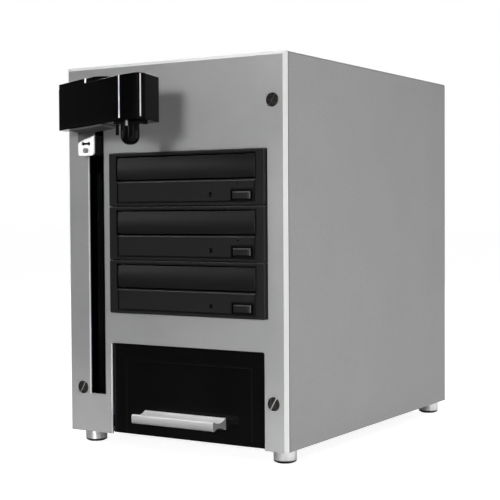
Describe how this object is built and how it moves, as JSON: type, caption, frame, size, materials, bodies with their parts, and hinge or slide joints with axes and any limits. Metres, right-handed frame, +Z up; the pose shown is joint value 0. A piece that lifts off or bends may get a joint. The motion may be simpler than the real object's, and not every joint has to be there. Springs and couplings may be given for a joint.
{
  "type": "disc duplicator autoloader",
  "caption": "Upright cabinet with stacked disc drives, a lifting gripper arm in a front slot that moves discs to the open trays, and a smoked catch drawer below.",
  "frame": {"origin": "on the floor, under the middle of the whole object's box, arm included", "axes": "+X to the right seen from the front, +Y from the front into the cabinet, +Z up"},
  "size_m": [0.21, 0.3898, 0.311],
  "materials": {
    "panel_metal": "fine satin",
    "cover_paint": "satin",
    "sheet_steel": "satin",
    "dark_steel": "satin",
    "foot_metal": "turned",
    "pad_rubber": "matte",
    "bezel_plastic": "fine grain",
    "door_plastic": "satin",
    "lamp_plastic": "clear",
    "tray_plastic": "matte",
    "smoked_acrylic": "polished",
    "bin_paint": "satin",
    "handle_metal": "brushed",
    "arm_plastic": "polished",
    "black_plastic": "matte",
    "zinc_plate": "zinc plated",
    "screw_chrome": "polished",
    "rod_chrome": "ground",
    "bush_bronze": "sintered",
    "belt_rubber": "matte",
    "pulley_metal": "machined",
    "motor_paint": "satin",
    "board_green": "solder mask",
    "socket_metal": "plated"
  },
  "bodies": {
    "cabinet": {"front_panel": "panel_metal", "wrap_cover": "cover_paint", "base_plate": "sheet_steel", "rear_panel": "sheet_steel", "panel_brackets": "sheet_steel", "front_screws": "dark_steel", "rear_screws": "dark_steel", "feet": "foot_metal", "foot_pads": "pad_rubber", "drive_cage": "sheet_steel", "drive_leds": "lamp_plastic", "lift_column": "sheet_steel", "guide_rods": "rod_chrome", "timing_belt": "belt_rubber", "lift_motor": "motor_paint", "idler_axle": "rod_chrome", "power_supply": "sheet_steel", "controller_board": "board_green", "fan_frame": "black_plastic", "power_inlet": "black_plastic", "switch_frame": "black_plastic", "usb_port": "socket_metal", "drawer_rails": "sheet_steel", "drive_case_1": "sheet_steel", "drive_bezel_1": "bezel_plastic", "drive_case_2": "sheet_steel", "drive_bezel_2": "bezel_plastic", "drive_case_3": "sheet_steel", "drive_bezel_3": "bezel_plastic"},
    "arm": {"carriage": "black_plastic", "carriage_bushes": "bush_bronze", "arm_bracket": "zinc_plate", "arm_screws": "screw_chrome", "arm_base": "black_plastic", "arm_housing": "arm_plastic", "arm_nose": "arm_plastic", "arm_lid": "arm_plastic", "gripper_hub": "black_plastic", "solenoid": "dark_steel"},
    "drawer": {"drawer_front": "smoked_acrylic", "drawer_bin": "bin_paint", "drawer_handle": "handle_metal"},
    "drive_pulley": {"drive_pulley": "pulley_metal"},
    "idler_pulley": {"idler_pulley": "pulley_metal"},
    "fan_rotor": {"fan_rotor": "black_plastic"},
    "power_rocker": {"power_rocker": "black_plastic"},
    "gripper_plunger": {"gripper_plunger": "screw_chrome"},
    "disc_sensor": {"disc_sensor_pin": "black_plastic"},
    "tray_1": {"drive_tray_1": "tray_plastic", "tray_door_1": "door_plastic"},
    "eject_1": {"eject_button_1": "door_plastic"},
    "finger_1": {"gripper_finger_1": "screw_chrome"},
    "tray_2": {"drive_tray_2": "tray_plastic", "tray_door_2": "door_plastic"},
    "eject_2": {"eject_button_2": "door_plastic"},
    "finger_2": {"gripper_finger_2": "screw_chrome"},
    "tray_3": {"drive_tray_3": "tray_plastic", "tray_door_3": "door_plastic"},
    "eject_3": {"eject_button_3": "door_plastic"},
    "finger_3": {"gripper_finger_3": "screw_chrome"}
  },
  "joints": [
    {"name": "arm_lift", "type": "slide", "parent": "cabinet", "child": "arm", "axis": [0, 0, 1], "range_m": [-0.185, 0]},
    {"name": "drive_pulley_spin", "type": "hinge", "parent": "cabinet", "child": "drive_pulley", "pos_m": [-0.0816, -0.04915, 0.039], "axis": [0, 1, 0], "range_deg": [-60, 1320]},
    {"name": "idler_spin", "type": "hinge", "parent": "cabinet", "child": "idler_pulley", "pos_m": [-0.0816, -0.04915, 0.283], "axis": [0, 1, 0], "range_deg": [-60, 1320]},
    {"name": "gripper_plunge", "type": "slide", "parent": "arm", "child": "gripper_plunger", "axis": [0, 0, -1], "range_m": [0, 0.003], "stiffness_N_per_m": 150, "springref_m": -0.002},
    {"name": "disc_sense", "type": "slide", "parent": "arm", "child": "disc_sensor", "axis": [0, 0, 1], "range_m": [0, 0.004], "stiffness_N_per_m": 60, "springref_m": -0.003},
    {"name": "drawer_slide", "type": "slide", "parent": "cabinet", "child": "drawer", "axis": [0, -1, 0], "range_m": [0, 0.13]},
    {"name": "fan_spin", "type": "hinge", "parent": "cabinet", "child": "fan_rotor", "pos_m": [0.035, 0.17885, 0.201], "axis": [0, 1, 0], "continuous": true},
    {"name": "power_rock", "type": "hinge", "parent": "cabinet", "child": "power_rocker", "pos_m": [0.029, 0.18815, 0.049], "axis": [1, 0, 0], "range_deg": [-18, 0]},
    {"name": "finger_1_slide", "type": "slide", "parent": "arm", "child": "finger_1", "axis": [1, 0, 0], "range_m": [0, 0.0012]},
    {"name": "finger_2_slide", "type": "slide", "parent": "arm", "child": "finger_2", "axis": [-0.5, 0.866, 0], "range_m": [0, 0.0012]},
    {"name": "finger_3_slide", "type": "slide", "parent": "arm", "child": "finger_3", "axis": [-0.5, -0.866, 0], "range_m": [0, 0.0012]},
    {"name": "tray_1_slide", "type": "slide", "parent": "cabinet", "child": "tray_1", "axis": [0, -1, 0], "range_m": [0, 0.14]},
    {"name": "eject_1_press", "type": "slide", "parent": "cabinet", "child": "eject_1", "axis": [0, 1, 0], "range_m": [0, 0.001], "stiffness_N_per_m": 300, "springref_m": -0.001},
    {"name": "tray_2_slide", "type": "slide", "parent": "cabinet", "child": "tray_2", "axis": [0, -1, 0], "range_m": [0, 0.14]},
    {"name": "eject_2_press", "type": "slide", "parent": "cabinet", "child": "eject_2", "axis": [0, 1, 0], "range_m": [0, 0.001], "stiffness_N_per_m": 300, "springref_m": -0.001},
    {"name": "tray_3_slide", "type": "slide", "parent": "cabinet", "child": "tray_3", "axis": [0, -1, 0], "range_m": [0, 0.14]},
    {"name": "eject_3_press", "type": "slide", "parent": "cabinet", "child": "eject_3", "axis": [0, 1, 0], "range_m": [0, 0.001], "stiffness_N_per_m": 300, "springref_m": -0.001}
  ],
  "couplings": [
    {"joint": "drive_pulley_spin", "follows": "arm_lift", "rad_per_m": -115.61},
    {"joint": "idler_spin", "follows": "arm_lift", "rad_per_m": -115.61},
    {"joint": "finger_1_slide", "follows": "gripper_plunge", "ratio": 0.4},
    {"joint": "finger_2_slide", "follows": "gripper_plunge", "ratio": 0.4},
    {"joint": "finger_3_slide", "follows": "gripper_plunge", "ratio": 0.4}
  ]
}
